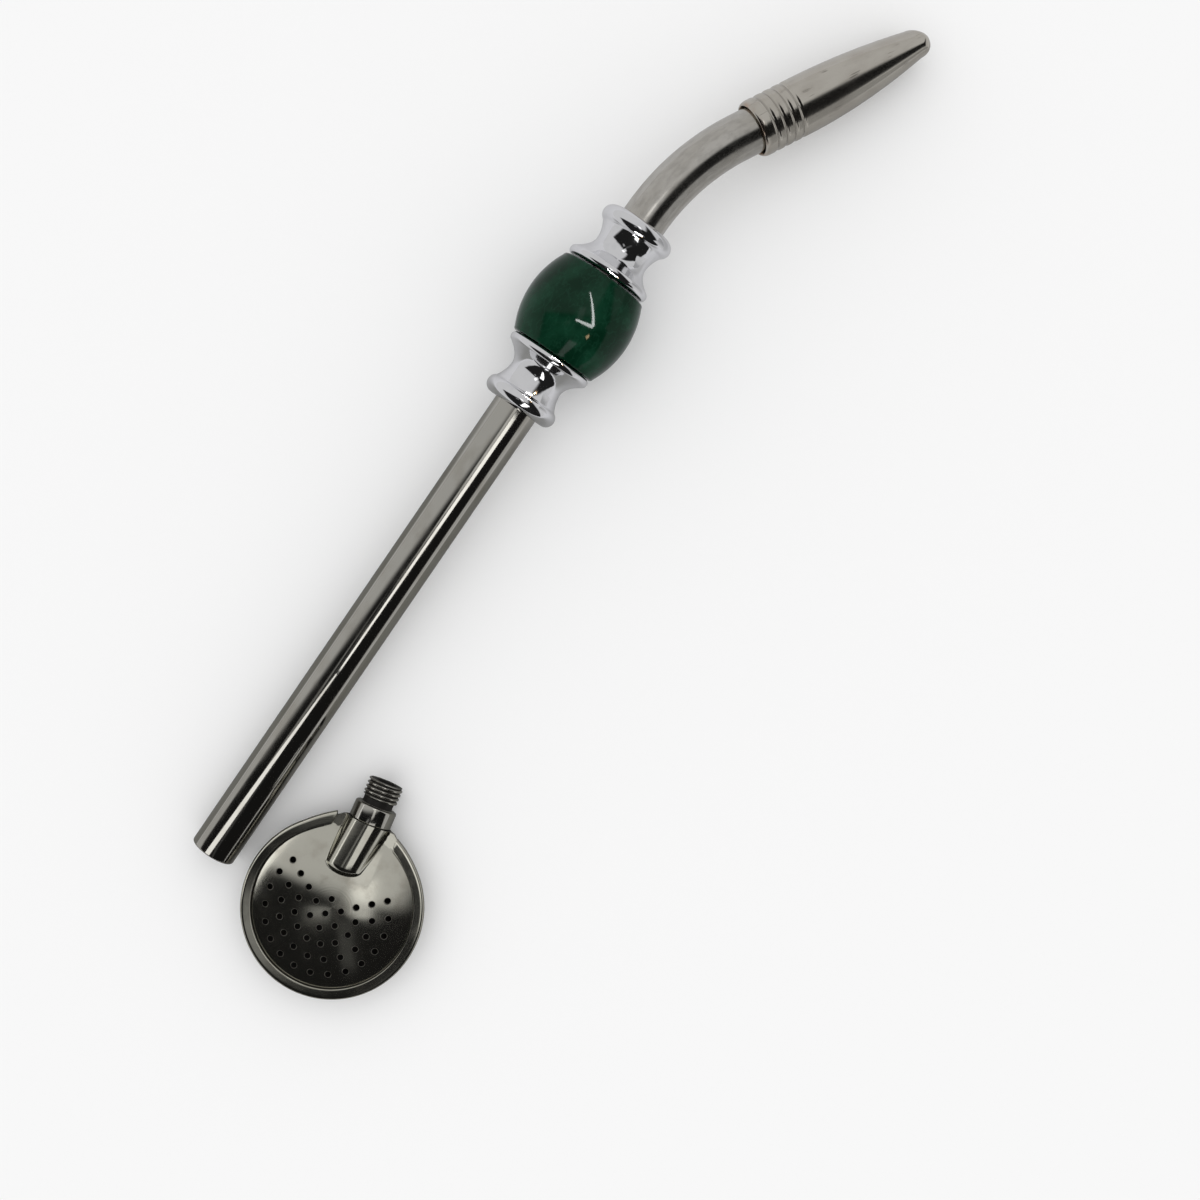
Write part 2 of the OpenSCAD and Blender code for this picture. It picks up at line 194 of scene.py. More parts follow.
# Finished piece: laid in place, shaded, with its body, CAD node and material
def finishPiece(name, mesh, lay, body, node, material, sharp=40, normals=None):
    mesh.transform(lay)
    mesh.shade_smooth()
    mesh.set_sharp_from_angle(angle=math.radians(sharp))
    if normals is not None:
        turn = np.array(lay.to_3x3()) / mm
        mesh.normals_split_custom_set((normals @ turn.T).tolist())
    mesh.materials.clear()
    mesh.materials.append(material)
    piece = bpy.data.objects.new(name, mesh)
    scene.collection.objects.link(piece)
    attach(piece, body)
    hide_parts(node)


# Mesh that a Geometry Nodes tree makes of another mesh, with the tree's sizes set by name
def grownMesh(mesh, tree, sizes):
    holder = bpy.data.objects.new("holder", mesh)
    scene.collection.objects.link(holder)
    grow = holder.modifiers.new("grow", "NODES")
    grow.node_group = tree
    for item in tree.interface.items_tree:
        if item.item_type == "SOCKET" and item.in_out == "INPUT" and item.name in sizes:
            grow[item.identifier] = sizes[item.name]
    bpy.context.view_layer.update()
    evaluated = holder.evaluated_get(bpy.context.evaluated_depsgraph_get())
    grown = bpy.data.meshes.new_from_object(evaluated)
    holder.modifiers.remove(grow)
    bpy.data.objects.remove(holder)
    return grown


# Empty tree with its geometry sockets and its named sizes
def startTree(name, sizes):
    tree = bpy.data.node_groups.new(name, "GeometryNodeTree")
    tree.interface.new_socket("Geometry", in_out="INPUT", socket_type="NodeSocketGeometry")
    for size in sizes:
        tree.interface.new_socket(size, in_out="INPUT", socket_type="NodeSocketFloat")
    tree.interface.new_socket("Geometry", in_out="OUTPUT", socket_type="NodeSocketGeometry")
    entry = tree.nodes.new("NodeGroupInput")
    pen = Wire(tree)
    return tree, pen, {socket.name: Wire(tree, socket) for socket in entry.outputs if socket.name}


# Last nodes of every tree: instances made real, material set
def endTree(pen, shape, material):
    shape = pen.add("GeometryNodeRealizeInstances", {}, {0: shape})
    shape = pen.add("GeometryNodeSetMaterial", {}, {"Geometry": shape, "Material": material})
    pen.add("NodeGroupOutput", {}, {0: shape})


# Tree that cuts a right-handed thread into the wall of a given radius about X
thread = dict(flank=(0.18, 0.95), runIn=0.3, runOut=0.2, wallBand=0.02)


def threadTree(material):
    tree, pen, size = startTree("cutThread", ["Radius", "Pitch", "Depth", "Start", "End"])
    x, y, z = pen.add("GeometryNodeInputPosition", {}, {}).parts()
    radius = pen.maths("SQRT", y * y + z * z)
    turns = (x - size["Start"]) / size["Pitch"] - pen.maths("ARCTAN2", z, y) / fullTurn
    crest = 1 - pen.maths("ABSOLUTE", pen.maths("FRACT", turns) * 2 - 1)
    groove = crest.step(*thread["flank"])
    ends = (x - size["Start"]).step(0.0, thread["runIn"]) * (size["End"] - x).step(0.0, thread["runOut"])
    offWall = pen.maths("ABSOLUTE", radius - size["Radius"])
    onWall = pen.maths("LESS_THAN", offWall, thread["wallBand"])
    push = groove * ends * onWall * size["Depth"] / radius
    offset = pen.add("ShaderNodeCombineXYZ", {}, {"Y": y * push, "Z": z * push})
    shape = pen.add("GeometryNodeSetPosition", {}, {"Geometry": size["Geometry"], "Offset": offset})
    endTree(pen, shape, material)
    return tree


# Tree that sets a rounded lip round every hole, following the dome's two faces
def lipTree(material, steps, sides):
    tree, pen, size = startTree("roundHoleLips",
                                ["Hole Radius", "Lip Radius", "Dome Radius", "Dome Height", "Sheet"])
    sheet = pen.add("GeometryNodeMeshGrid", {}, {"Size X": 1.0, "Size Y": 1.0, "Vertices X": steps,
                                                  "Vertices Y": sides + 1})
    across, around = Wire(tree, sheet.socket.node.outputs[1]).parts()[:2]
    bend, angle = across * math.pi, around * fullTurn
    reach = size["Lip Radius"] - (size["Lip Radius"] - size["Hole Radius"]) * pen.maths("SINE", bend)
    ring = pen.add("ShaderNodeCombineXYZ", {}, {"X": reach * pen.maths("COSINE", angle),
                                                "Y": reach * pen.maths("SINE", angle)})
    drop = (1 - pen.maths("COSINE", bend)) * 0.5
    lip = pen.add("GeometryNodeStoreNamedAttribute", {"data_type": "FLOAT", "domain": "POINT"},
                  {"Geometry": sheet, "Name": "drop", "Value": drop})
    lip = pen.add("GeometryNodeSetPosition", {}, {"Geometry": lip, "Position": ring})
    lip = pen.add("GeometryNodeMergeByDistance", {}, {"Geometry": lip, "Distance": 0.001})    # the lip's seam
    lips = pen.add("GeometryNodeInstanceOnPoints", {}, {"Points": size["Geometry"], "Instance": lip})
    lips = pen.add("GeometryNodeRealizeInstances", {}, {0: lips})
    x, y, z = pen.add("GeometryNodeInputPosition", {}, {}).parts()
    spread = x * x + y * y
    base = size["Dome Height"] - size["Dome Radius"]
    inner = size["Dome Radius"] - size["Sheet"]
    top = base + pen.maths("SQRT", size["Dome Radius"] * size["Dome Radius"] - spread)
    under = base + pen.maths("SQRT", inner * inner - spread)
    stored = pen.add("GeometryNodeInputNamedAttribute", {"data_type": "FLOAT"}, {"Name": "drop"})
    place = pen.add("ShaderNodeCombineXYZ", {}, {"X": x, "Y": y, "Z": top - stored * (top - under)})
    lips = pen.add("GeometryNodeSetPosition", {}, {"Geometry": lips, "Position": place})
    endTree(pen, lips, material)
    return tree


# Materials
def startMaterial(name):
    material = bpy.data.materials.new(name)
    material.use_nodes = True
    material.node_tree.nodes.clear()
    return material, Wire(material.node_tree)


def endMaterial(pen, sockets):
    shader = pen.add("ShaderNodeBsdfPrincipled", {}, sockets)
    pen.add("ShaderNodeOutputMaterial", {}, {"Surface": shader})


def endGlow(pen, tone, strength):
    glow = pen.add("ShaderNodeEmission", {}, {"Color": tone, "Strength": strength})
    pen.add("ShaderNodeOutputMaterial", {}, {"Surface": glow})


# Place on a piece's own map, round and along it in millimetres
def mapPlace(pen):
    return pen.add("ShaderNodeUVMap", {"uv_map": "UVMap"}, {})


# Place in the part's frame in metres
def framePlace(pen):
    return pen.add("ShaderNodeTexCoord", {}, {}, 3)


def noiseAt(pen, place, stretch, scale, detail):
    moved = pen.add("ShaderNodeVectorMath", {"operation": "MULTIPLY"}, {0: place, 1: stretch})
    return pen.add("ShaderNodeTexNoise", {}, {"Vector": moved, "Scale": scale, "Detail": detail})


# Fine relief, with its depth in metres
def reliefOf(pen, depth, height):
    return pen.add("ShaderNodeBump", {}, {"Strength": 1.0, "Distance": depth, "Height": height})


# Painted shade on inner faces and in hollows: a near-black colour there, with less metal and more roughness
hollowShade = dict(edge=(0.25, 0.75), tone=(0.012, 0.010, 0.008, 1), dull=0.7, rough=0.4)


def withHollowShade(pen, shade, rough):
    inside = pen.add("ShaderNodeAttribute", {"attribute_name": "inside"}, {}, 2).step(*hollowShade["edge"])
    return {"Base Color": inside.tint(shade, hollowShade["tone"]), "Metallic": 1 - inside * hollowShade["dull"],
            "Roughness": rough + inside * hollowShade["rough"]}


# Mirror-polished tube steel: hairlines along the tube and faint finger smudges
polished = dict(clean=(0.50, 0.486, 0.445, 1), smudged=(0.45, 0.43, 0.385, 1), rough=0.085, smudgeRough=0.06,
                hairline=0.06, relief=0.00002)


def polishedSteel():
    material, pen = startMaterial("polishedTubeSteel")
    place = mapPlace(pen)
    smudge = noiseAt(pen, place, (1.0, 0.5, 1.0), 0.32, 4.0).step(0.42, 0.72)
    hairline = noiseAt(pen, place, (9.0, 0.12, 1.0), 1.0, 3.0)
    wave = noiseAt(pen, place, (0.25, 0.05, 1.0), 1.0, 1.0)
    bump = reliefOf(pen, polished["relief"], hairline * polished["hairline"] + wave)
    shade = smudge.tint(polished["clean"], polished["smudged"])
    rough = polished["rough"] + smudge * polished["smudgeRough"]
    endMaterial(pen, {**withHollowShade(pen, shade, rough), "Normal": bump})
    return material


# Spun strainer steel: fine rings about the disc's centre that draw reflections out, clouded in places
spun = dict(clean=(0.61, 0.597, 0.52, 1), clouded=(0.53, 0.507, 0.435, 1), cloudRough=0.06, ringsPerMm=4.0,
            relief=0.0000015, drawnTurn=0.25)


def spunSteel(name, rough, drawn):
    material, pen = startMaterial(name)
    place = mapPlace(pen)
    radius = pen.add("ShaderNodeVectorMath", {"operation": "LENGTH"}, {0: place}, 1)
    rings = pen.add("ShaderNodeTexNoise", {"noise_dimensions": "1D"},
                    {"W": radius * spun["ringsPerMm"], "Scale": 1.0, "Detail": 2.0})
    cloud = noiseAt(pen, place, evenly, 0.25, 5.0).step(0.45, 0.75)
    bump = reliefOf(pen, spun["relief"], rings)
    shade = cloud.tint(spun["clean"], spun["clouded"])
    surface = withHollowShade(pen, shade, rough + cloud * spun["cloudRough"])
    endMaterial(pen, {**surface, "Normal": bump, "Anisotropic": drawn,
                      "Anisotropic Rotation": spun["drawnTurn"]})
    return material


# Worn satin steel of the upper tube: brush lines along it, pits, mottling and a warm film
satin = dict(clean=(0.60, 0.58, 0.54, 1), filmed=(0.50, 0.475, 0.43, 1), mottled=(0.36, 0.345, 0.32, 1),
             pitted=(0.26, 0.24, 0.21, 1), mottle=0.35, rough=0.16, filmRough=0.08, mottleRough=0.05,
             lines=0.35, pits=0.3, relief=0.000006)


def satinSteel():
    material, pen = startMaterial("satinTubeSteel")
    place = mapPlace(pen)
    warmth = noiseAt(pen, place, (1.0, 0.3, 1.0), 0.30, 4.0).step(0.35, 0.75)
    lines = noiseAt(pen, place, (10.0, 0.25, 1.0), 1.0, 4.0)
    pits = noiseAt(pen, place, evenly, 3.2, 2.0).step(0.74, 0.80)
    mottle = noiseAt(pen, place, (1.0, 0.45, 1.0), 1.1, 5.0).step(0.40, 0.70)
    bump = reliefOf(pen, satin["relief"], lines * satin["lines"] - pits * satin["pits"])
    shade = warmth.tint(satin["clean"], satin["filmed"])
    shade = (mottle * satin["mottle"]).tint(shade, satin["mottled"])
    shade = pits.tint(shade, satin["pitted"])
    rough = satin["rough"] + warmth * satin["filmRough"] + mottle * satin["mottleRough"]
    endMaterial(pen, {**withHollowShade(pen, shade, rough), "Normal": bump})
    return material


# Worn nickel of the mouthpiece: grey in the turned grooves, scratched lengthwise, copper at the base edge
nickel = dict(clean=(0.62, 0.59, 0.53, 1), filmed=(0.53, 0.495, 0.44, 1), grooveDarkTone=(0.16, 0.15, 0.13, 1),
              worn=(0.10, 0.09, 0.075, 1), copper=(0.46, 0.27, 0.17, 1), grooveDark=0.35, wear=0.75,
              copperShare=0.8, copperReach=1.2, grooveDarkReach=(0.05, 0.40), grooveDarkEnd=0.02, rough=0.14,
              filmRough=0.07, lines=0.3, scratch=0.3, relief=0.000006)


def satinNickel(grooves):
    material, pen = startMaterial("satinMouthNickel")
    place = mapPlace(pen)
    along = place.parts()[1]
    warmth = noiseAt(pen, place, (0.8, 0.4, 1.0), 0.35, 4.0).step(0.35, 0.75)
    lines = noiseAt(pen, place, (9.0, 0.30, 1.0), 1.0, 4.0)
    scratch = noiseAt(pen, place, (5.0, 0.22, 1.0), 1.0, 2.0).step(0.60, 0.70)
    wear = noiseAt(pen, place, (1.0, 0.5, 1.0), 0.55, 3.0).step(0.50, 0.64) * scratch
    # Darker band along each turned groove, mixed into the colour
    phase = (along - grooves["first"]) / grooves["pitch"] + 0.5
    near = pen.maths("ABSOLUTE", pen.maths("FRACT", phase) - 0.5) * grooves["pitch"]
    end = nickel["grooveDarkEnd"]
    inside = phase.step(-end, end) * (grooves["count"] - phase).step(-end, end)
    grooveDark = inside * (1 - near.step(*nickel["grooveDarkReach"]))
    bare = noiseAt(pen, place, evenly, 0.3, 2.0).step(0.4, 0.7)
    copper = (1 - along.step(grooves["edge"], grooves["edge"] + nickel["copperReach"])) * bare
    shade = warmth.tint(nickel["clean"], nickel["filmed"])
    shade = (grooveDark * nickel["grooveDark"]).tint(shade, nickel["grooveDarkTone"])
    shade = (wear * nickel["wear"]).tint(shade, nickel["worn"])
    shade = (copper * nickel["copperShare"]).tint(shade, nickel["copper"])
    bump = reliefOf(pen, nickel["relief"], lines * nickel["lines"] - scratch * nickel["scratch"])
    rough = nickel["rough"] + warmth * nickel["filmRough"]
    endMaterial(pen, {**withHollowShade(pen, shade, rough), "Normal": bump})
    return material


# Bright plated ferrules with a faint haze and a few specks
plate = dict(clean=(0.88, 0.88, 0.895, 1), hazed=(0.82, 0.82, 0.84, 1), speck=(0.25, 0.24, 0.23, 1),
             rough=0.06, hazeRough=0.05, relief=0.00003)


def brightPlate():
    material, pen = startMaterial("brightFerrulePlate")
    place = mapPlace(pen)
    haze = noiseAt(pen, place, evenly, 0.5, 4.0).step(0.40, 0.75)
    specks = noiseAt(pen, place, evenly, 3.0, 2.0).step(0.76, 0.82)
    wave = noiseAt(pen, place, evenly, 0.45, 2.0)
    shade = haze.tint(plate["clean"], plate["hazed"])
    endMaterial(pen, {"Base Color": specks.tint(shade, plate["speck"]), "Metallic": 1.0,
                      "Roughness": plate["rough"] + haze * plate["hazeRough"],
                      "Normal": reliefOf(pen, plate["relief"], wave)})
    return material


# Dark green polished stone with paler clouds and a few fine veins
stone = dict(deep=(0.0012, 0.0160, 0.0070, 1), pale=(0.0050, 0.0360, 0.0180, 1),
             vein=(0.014, 0.062, 0.036, 1), veinShare=0.2, veinHalf=0.035, rough=0.10, ior=1.27)


def greenStone():
    material, pen = startMaterial("greenBeadStone")
    place = framePlace(pen)
    cloud = noiseAt(pen, place, evenly, 190.0, 4.0).step(0.38, 0.72)
    vein = noiseAt(pen, place, (1.0, 1.6, 1.0), 420.0, 3.0)
    vein = 1 - pen.maths("ABSOLUTE", vein - 0.5).step(0.0, stone["veinHalf"])
    shade = cloud.tint(stone["deep"], stone["pale"])
    shade = (vein * stone["veinShare"]).tint(shade, stone["vein"])
    endMaterial(pen, {"Base Color": shade, "Roughness": stone["rough"], "IOR": stone["ior"]})
    return material


# Plain steel of the sleeve inside the bead, with turning marks along it
marked = dict(clean=(0.50, 0.49, 0.47, 1), dark=(0.40, 0.39, 0.37, 1), rough=0.30, markRough=0.1)


def sleeveSteel():
    material, pen = startMaterial("innerSleeveSteel")
    marks = noiseAt(pen, framePlace(pen), (3000.0, 100.0, 100.0), 1.0, 2.0)
    endMaterial(pen, {"Base Color": marks.tint(marked["clean"], marked["dark"]), "Metallic": 1.0,
                      "Roughness": marked["rough"] + marks * marked["markRough"]})
    return material


tubeSteel = polishedSteel()
upperSteel = satinSteel()
ferrulePlate = brightPlate()
beadStone = greenStone()
frontSteel = spunSteel("spunFrontSteel", rough=0.13, drawn=0.75)
rimSteel = spunSteel("spunRimSteel", rough=0.09, drawn=0.0)
print("straw: materials made")

# Lower tube: rounded mouth, tapped socket, plain bore
lowerTube = dict(edge=0.35, socketR=2.875, socketDepth=5.15, mouthR=3.0, mouthEdge=0.15, threadStart=1.3,
                 threadEnd=4.6, pitch=0.75, depth=0.35, plainFrom=2.0, plainRows=30, socketRows=88,
                 shadeReach=0.6)
threads = threadTree(tubeSteel)
plainPart = np.linspace(lowerTube["plainFrom"], stem["lowerFace"], lowerTube["plainRows"])
socketPart = np.linspace(lowerTube["socketDepth"], lowerTube["mouthEdge"], lowerTube["socketRows"])
outline = outlineArc(lowerTube["edge"], stem["tubeR"] - lowerTube["edge"], lowerTube["edge"], 180, 90, 6)
outline += [(x, stem["tubeR"]) for x in plainPart]
outline += [(stem["lowerFace"], stem["boreR"]), (lowerTube["socketDepth"], stem["boreR"])]
outline += [(x, lowerTube["socketR"]) for x in socketPart] + [(0, lowerTube["mouthR"])]
tubeMesh = loftMesh("lowerTube", turnedRings(outline, stem["sides"], stem["seam"]), fullTurn * stem["tubeR"])
tubeMesh = grownMesh(tubeMesh, threads, {"Radius": lowerTube["socketR"], "Pitch": lowerTube["pitch"],
                                         "Depth": lowerTube["depth"], "Start": lowerTube["threadStart"],
                                         "End": lowerTube["threadEnd"]})
# Painted shade over the tapped socket and the bore inside the lower tube
hollowShadeR = lowerTube["socketR"] + lowerTube["shadeReach"]
paintHollowShade(tubeMesh, [float(math.hypot(v.co.y, v.co.z) < hollowShadeR) for v in tubeMesh.vertices])
finishPiece("lowerTube", tubeMesh, layStem, "stem", "lower_tube", tubeSteel)

# Ferrules: flange, waist and cup, the upper one turned round
ferrule = dict(length=10.9, boreR=4.05, flangeR=6.75, flangeEdge=1.6, waistR=4.95, cupR=7.75, cupEdge=1.7,
               cupRound=0.8, blend=60, waistRows=41, sides=128, sharp=50)
flangeAt, cupAt = ferrule["flangeR"] - ferrule["flangeEdge"], ferrule["cupR"] - ferrule["cupRound"]
cupFoot = ferrule["length"] - ferrule["cupEdge"] + ferrule["cupRound"]
flangeArc = outlineArc(ferrule["flangeEdge"], flangeAt, ferrule["flangeEdge"], 180, 90 - ferrule["blend"], 20)
footArc = outlineArc(cupFoot, cupAt, ferrule["cupRound"], 90 + ferrule["blend"], 90, 8)
lipArc = outlineArc(ferrule["length"] - ferrule["cupRound"], cupAt, ferrule["cupRound"], 90, 0, 10)
low, high = flangeArc[-1], footArc[0]
waist = []
for u in np.linspace(-1, 1, ferrule["waistRows"])[1:-1]:
    wide = low[1] if u < 0 else high[1]
    waist.append(((low[0] + high[0]) / 2 + u * (high[0] - low[0]) / 2,
                  ferrule["waistR"] + (wide - ferrule["waistR"]) * u * u))
outline = [(0, ferrule["boreR"])] + flangeArc + waist + footArc + lipArc[1:]
outline.append((ferrule["length"], ferrule["boreR"]))
seated = [(stem["lowerFace"] - ferrule["length"] + x, r) for x, r in outline]
turned = [(stem["upperEnd"] - x, r) for x, r in outline]
for name, node, place in (("lowerFerrule", "lower_ferrule", seated),
                          ("upperFerrule", "upper_ferrule", turned)):
    mesh = loftMesh(name, turnedRings(place, ferrule["sides"], stem["seam"]), fullTurn * ferrule["waistR"])
    finishPiece(name, mesh, layStem, "stem", node, ferrulePlate, sharp=ferrule["sharp"])

# Bead: barrel with softly rounded ends
bead = dict(half=7.75, crownR=16.5, topR=9.75, edge=0.5, edgeTurns=(0, 20, 40, 60), boreR=2.53, crownRows=48,
            sides=128)
crownAt = bead["topR"] - bead["crownR"]
endTurn = math.degrees(math.asin((bead["half"] - bead["edge"]) / bead["crownR"]))
crown = outlineArc(0, crownAt, bead["crownR"], 90 + endTurn, 90 - endTurn, bead["crownRows"])
endR = crown[0][1]
soft = [(-bead["half"] + bead["edge"] * (1 - math.cos(a)), endR - bead["edge"] * (1 - math.sin(a)))
        for a in np.radians(bead["edgeTurns"])]
softFar = [(-x, r) for x, r in soft[::-1]]
outline = [(-bead["half"], bead["boreR"])] + soft + crown + softFar + [(bead["half"], bead["boreR"])]
outline = [(stem["beadMiddle"] + x, r) for x, r in outline]
beadMesh = loftMesh("stoneBead", turnedRings(outline, bead["sides"], stem["seam"]), fullTurn * bead["topR"])
finishPiece("stoneBead", beadMesh, layStem, "bead", "bead", beadStone)

# Upper tube: straight out of the ferrule, bent, and straight into the mouthpiece
upperTube = dict(grip=8.0, bendRows=56, straightRows=6)
tubeTurns = ringTurns(stem["sides"], stem["seam"])
straight = np.linspace(stem["upperFace"], stem["bendStart"], upperTube["straightRows"])
path = [((x, 0.0), 0.0) for x in straight]
path += [(bentPlace(turn), turn) for turn in np.linspace(0, stem["bendAngle"], upperTube["bendRows"])[1:]]
for s in np.linspace(0, stem["tail"] + upperTube["grip"], upperTube["straightRows"])[1:]:
    place = (bendEnd.x + s * math.cos(stem["bendAngle"]), bendEnd.y - s * math.sin(stem["bendAngle"]))
    path.append((place, stem["bendAngle"]))


# Ring of the bent tube about one place of its path
def pathRing(place, turn, radius):
    across, up = radius * np.cos(tubeTurns), radius * np.sin(tubeTurns)
    return np.stack([place[0] + across * math.sin(turn), place[1] + across * math.cos(turn), up], 1)


rings = [pathRing(place, turn, stem["tubeR"]) for place, turn in path]
rings += [pathRing(place, turn, stem["boreR"]) for place, turn in path[::-1]]
upperMesh = loftMesh("upperTube", rings, fullTurn * stem["tubeR"])
finishPiece("upperTube", upperMesh, layStem, "stem", "upper_tube", upperSteel)

# Mouthpiece: grooved round base, flattened beak, rounded end with its slot, hollow inside
mouth = dict(baseR=5.0, baseLength=9.0, end=32.8, tipRound=1.8, tipTurn=70, tipThick=2.55, tipWide=4.4,
             lift=0.5, socketR=4.05, socketDepth=8.05, boreR=2.55, wall=0.9, hollowBack=0.5, hollowShort=0.3,
             slotAt=0.955, slotThick=0.7, slotWide=2.5, slotFlare=(0.06, 0.1), slotLand=0.1,
             shoulder=(1.1, 0.5), sink=(0.8, 4.45), first=2.5, pitch=1.73, count=4, grooveHalf=0.55,
             grooveDepth=0.22, grooveDarkShift=0.15, baseRows=130, beakRows=40, tipRows=12, hollowRows=20)


# Share of the way along the beak, nothing on the round base
def beakShare(s):
    return max(0.0, (s - mouth["baseLength"]) / (mouth["end"] - mouth["baseLength"]))


# Half of the beak's width or thickness on its way to the tip
def beakHalf(s, tip):
    u = beakShare(s)
    return mouth["baseR"] - (mouth["baseR"] - tip) * u * u


# Oval ring across the mouthpiece, boxy for the slot
def ovalRing(s, thick, wide, boxy=2.0):
    c, d = np.cos(tubeTurns), np.sin(tubeTurns)
    lift = mouth["lift"] * beakShare(s) ** 2
    return np.stack([np.full(len(tubeTurns), s), lift + thick * np.sign(c) * np.abs(c) ** (2 / boxy),
                     wide * np.sign(d) * np.abs(d) ** (2 / boxy)], 1)


# Depth of the turned grooves at a distance from the base
def grooveCut(s):
    cut = 0.0
    for i in range(mouth["count"]):
        off = abs(s - mouth["first"] - i * mouth["pitch"]) / mouth["grooveHalf"]
        cut += mouth["grooveDepth"] * (1 - off * off) ** 2 if off < 1 else 0.0
    return cut


rings = [ovalRing(mouth["sink"][0], mouth["socketR"], mouth["socketR"]),
         ovalRing(0, mouth["sink"][1], mouth["sink"][1])]
for x, r in outlineArc(0, 0, 1, 180, 90, 8):
    r = mouth["baseR"] + mouth["shoulder"][1] * (r - 1)
    rings.append(ovalRing(mouth["shoulder"][0] * (x + 1), r, r))
for s in np.linspace(mouth["shoulder"][0] + 0.1, mouth["baseLength"], mouth["baseRows"]):
    r = mouth["baseR"] - grooveCut(s)
    rings.append(ovalRing(s, r, r))
for s in np.linspace(mouth["baseLength"], mouth["end"], mouth["beakRows"])[1:]:
    rings.append(ovalRing(s, beakHalf(s, mouth["tipThick"]), beakHalf(s, mouth["tipWide"])))
for a in np.radians(np.linspace(0, mouth["tipTurn"], mouth["tipRows"])[1:]):
    rings.append(ovalRing(mouth["end"] + mouth["tipRound"] * math.sin(a), mouth["tipThick"] * math.cos(a),
                          mouth["tipWide"] - mouth["tipRound"] * (1 - math.cos(a)), 2 + a))
slotMouth = mouth["end"] + mouth["tipRound"] * mouth["slotAt"]
flareThick, flareWide = mouth["slotFlare"]
rings.append(ovalRing(slotMouth, mouth["slotThick"] + flareThick, mouth["slotWide"] + flareWide, 4))
for s in (slotMouth - mouth["slotLand"], mouth["end"]):
    rings.append(ovalRing(s, mouth["slotThick"], mouth["slotWide"], 5))
hollowFrom = mouth["baseLength"] - mouth["hollowBack"]
hollowRun = mouth["end"] - mouth["hollowShort"] - mouth["baseLength"]
for u in np.linspace(1, 0, mouth["hollowRows"]):
    s = hollowFrom + hollowRun * u
    wall = mouth["baseR"] - mouth["boreR"] + (mouth["wall"] - mouth["baseR"] + mouth["boreR"]) * u
    rings.append(ovalRing(s, beakHalf(s, mouth["tipThick"]) - wall, beakHalf(s, mouth["tipWide"]) - wall))
for r in (mouth["boreR"], mouth["socketR"]):
    rings.append(ovalRing(mouth["socketDepth"], r, r))
mouthMesh = loftMesh("mouthPiece", rings, fullTurn * mouth["baseR"])
edgeRun = math.hypot(mouth["sink"][0], mouth["sink"][1] - mouth["socketR"])
mouthNickel = satinNickel({"first": mouth["first"] + edgeRun + mouth["grooveDarkShift"], "pitch": mouth["pitch"],
                           "count": mouth["count"], "edge": edgeRun})
finishPiece("mouthPiece", mouthMesh, layMouth, "stem", "mouthpiece", mouthNickel)
print("straw: stem pieces made")


# Radius of a shell's dome from its height over the middle plane
def capRadius(height):
    rise = height - strainer["sheet"]
    return (strainer["hemR"] ** 2 + rise ** 2) / (2 * rise)


# Radius of the neck along its axis
def neckRadius(x):
    return np.interp(x, (strainer["neckIn"], strainer["neckOut"]), (strainer["neckEndR"], strainer["neckR"]))


# How far the neck leans to one side, on the front shell alone
def neckMiddle(x, side):
    if side < 0:
        return 0.0 * x
    return strainer["lean"] * (strainer["neckOut"] - x) / (strainer["neckOut"] - strainer["neckIn"])


# Height of the dome and of the neck over the middle plane, on the outer face or inset by the sheet
def shellForms(x, y, inset, side):
    height = strainer["frontHeight"] if side > 0 else strainer["backHeight"]
    cap = capRadius(height)
    dome = height - cap + np.sqrt((cap - inset) ** 2 - x * x - y * y)
    past = np.clip((strainer["neckIn"] - x) / (strainer["neckRound"] - inset), 0, 1)
    radius, off = neckRadius(x) - inset, y - neckMiddle(x, side)
    neck = np.sqrt(np.maximum(radius * radius * (1 - past * past) - off * off, 0))
    return np.maximum(dome, strainer["sheet"] - inset), neck


# Height of a shell's face, with a small fillet where the neck meets the dome
def shellHeight(x, y, inset, side):
    dome, neck = shellForms(x, y, inset, side)
    blend = np.maximum(strainer["fillet"] - np.abs(dome - neck), 0) / strainer["fillet"]
    return np.maximum(dome, neck) + blend * blend * strainer["fillet"] / 4


# Outward direction of a shell's outer face
def shellNormals(x, y, side):
    step = 0.004
    slopeX = (shellHeight(x + step, y, 0, side) - shellHeight(x - step, y, 0, side)) / (2 * step)
    slopeY = (shellHeight(x, y + step, 0, side) - shellHeight(x, y - step, 0, side)) / (2 * step)
    normals = np.stack([-slopeX, -slopeY, np.ones(len(x))], 1) * (1, 1, side)
    return normals / np.linalg.norm(normals, axis=1)[:, None]


# Place beside the front neck where it comes out of the dome, found by halving
def neckFoot(x, flank):
    low = neckMiddle(x, 1)
    high = low + flank * strainer["neckR"]
    for halving in range(40):
        y = (low + high) / 2
        dome, neck = shellForms(x, y, 0, 1)
        low, high = (y, high) if neck > dome else (low, y)
    return (low + high) / 2


# Points about a place in plan
def planRing(x, y, radius, turns):
    return [(x + radius * math.cos(a), y + radius * math.sin(a)) for a in turns]


# Points of an arc about the disc's centre
def discArc(radius, start, end, steps):
    return planRing(0, 0, radius, np.linspace(start, end, steps + 1))


# Spacing of the points that a shell is meshed from: rings, hole rings, and a finer grid and rows on the neck
grid = dict(middle=(0.31, 1.0), firstRing=0.75, ring=0.7, ringShift=0.37, holeRing=0.16, holeShift=0.13,
            holeClear=0.08, holeKeep=0.995, holeTouch=0.02, neck=0.16, neckFrom=5.2, neckEdge=0.05,
            neckHalf=4.75, rowFrom=5.8, rowShift=0.07, rowTurn=80, rowPoints=61, discSteps=220, neckSteps=40)


# Distance of each place from the middle of its nearest hole
def holeGap(places, holes):
    if not holes:
        return np.full(len(places), np.inf)
    return np.linalg.norm(places[:, None] - np.array(holes)[None], axis=2).min(1)


